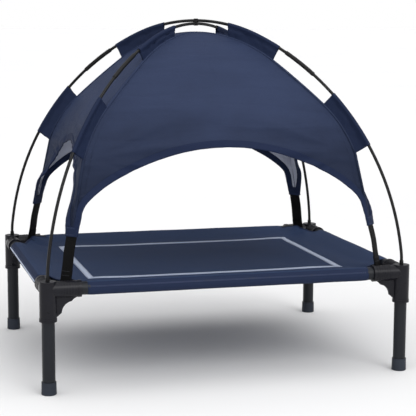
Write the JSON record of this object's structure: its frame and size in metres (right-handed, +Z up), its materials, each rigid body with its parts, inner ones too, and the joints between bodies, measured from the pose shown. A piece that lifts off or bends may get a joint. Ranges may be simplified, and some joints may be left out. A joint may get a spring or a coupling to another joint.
{
  "type": "raised dog bed with canopy",
  "caption": "Raised tube-frame dog bed with a taut fabric mat and a lift-off domed sun canopy on two crossed bent poles.",
  "frame": {"origin": "on the floor at the centre of the four feet", "axes": "+X along the long side of the bed, +Y across it, +Z up"},
  "size_m": [0.7626, 0.5926, 0.7188],
  "materials": {
    "connector_plastic": "moulded satin black",
    "foot_plastic": "moulded matte dark grey",
    "frame_paint": "satin black powder coat on steel tube",
    "mat_cloth": "dark blue plain-weave polyester",
    "trim_tape": "light grey-blue woven tape",
    "canopy_cloth": "dark blue coated polyester",
    "canopy_binding": "dark blue doubled polyester",
    "webbing": "black woven webbing",
    "pole_fibreglass": "black glass-fibre rod",
    "ferrule_metal": "black painted steel sleeve",
    "tip_plastic": "moulded black"
  },
  "bodies": {
    "cot": {"corner_connector_back_left": "connector_plastic", "corner_connector_back_right": "connector_plastic", "corner_connector_front_left": "connector_plastic", "corner_connector_front_right": "connector_plastic", "mat_hem_back": "mat_cloth", "mat_hem_front": "mat_cloth", "mat_hem_left": "mat_cloth", "mat_hem_right": "mat_cloth", "mat_panel": "mat_cloth", "mat_piping_left": "trim_tape", "mat_piping_right": "trim_tape", "mat_trim_tape": "trim_tape", "rail_back": "frame_paint", "rail_front": "frame_paint", "rail_left": "frame_paint", "rail_right": "frame_paint", "strap_anchor_back_left": "webbing", "strap_anchor_back_right": "webbing", "strap_anchor_front_left": "webbing", "strap_anchor_front_right": "webbing"},
    "canopy": {"canopy_hem_back": "canopy_binding", "canopy_hem_front": "canopy_binding", "canopy_hem_left": "canopy_binding", "canopy_hem_right": "canopy_binding", "canopy_panel_back": "canopy_cloth", "canopy_panel_front": "canopy_cloth", "canopy_panel_left": "canopy_cloth", "canopy_panel_right": "canopy_cloth", "corner_strap_back_left": "webbing", "corner_strap_back_right": "webbing", "corner_strap_front_left": "webbing", "corner_strap_front_right": "webbing", "crossing_clip": "tip_plastic", "lower_sleeve_back_left": "canopy_binding", "lower_sleeve_back_right": "canopy_binding", "lower_sleeve_front_left": "canopy_binding", "lower_sleeve_front_right": "canopy_binding", "pole_a_ferrules": "ferrule_metal", "pole_a_middle": "pole_fibreglass", "pole_a_tips": "tip_plastic", "pole_b_ferrules": "ferrule_metal", "pole_b_middle": "pole_fibreglass", "pole_b_tips": "tip_plastic", "pole_back_left": "pole_fibreglass", "pole_back_right": "pole_fibreglass", "pole_front_left": "pole_fibreglass", "pole_front_right": "pole_fibreglass", "upper_sleeve_back_left": "canopy_binding", "upper_sleeve_back_right": "canopy_binding", "upper_sleeve_front_left": "canopy_binding", "upper_sleeve_front_right": "canopy_binding"},
    "leg_front_left": {"leg_tube_front_left": "frame_paint", "foot_cap_front_left": "foot_plastic"},
    "leg_front_right": {"leg_tube_front_right": "frame_paint", "foot_cap_front_right": "foot_plastic"},
    "leg_back_left": {"leg_tube_back_left": "frame_paint", "foot_cap_back_left": "foot_plastic"},
    "leg_back_right": {"leg_tube_back_right": "frame_paint", "foot_cap_back_right": "foot_plastic"}
  },
  "joints": [
    {"name": "canopy_lift", "type": "slide", "parent": "cot", "child": "canopy", "axis": [0, 0, 1], "range_m": [0, 0.12]},
    {"name": "leg_pull_front_left", "type": "slide", "parent": "cot", "child": "leg_front_left", "axis": [0, 0, -1], "range_m": [0, 0.06]},
    {"name": "leg_pull_front_right", "type": "slide", "parent": "cot", "child": "leg_front_right", "axis": [0, 0, -1], "range_m": [0, 0.06]},
    {"name": "leg_pull_back_left", "type": "slide", "parent": "cot", "child": "leg_back_left", "axis": [0, 0, -1], "range_m": [0, 0.06]},
    {"name": "leg_pull_back_right", "type": "slide", "parent": "cot", "child": "leg_back_right", "axis": [0, 0, -1], "range_m": [0, 0.06]}
  ]
}
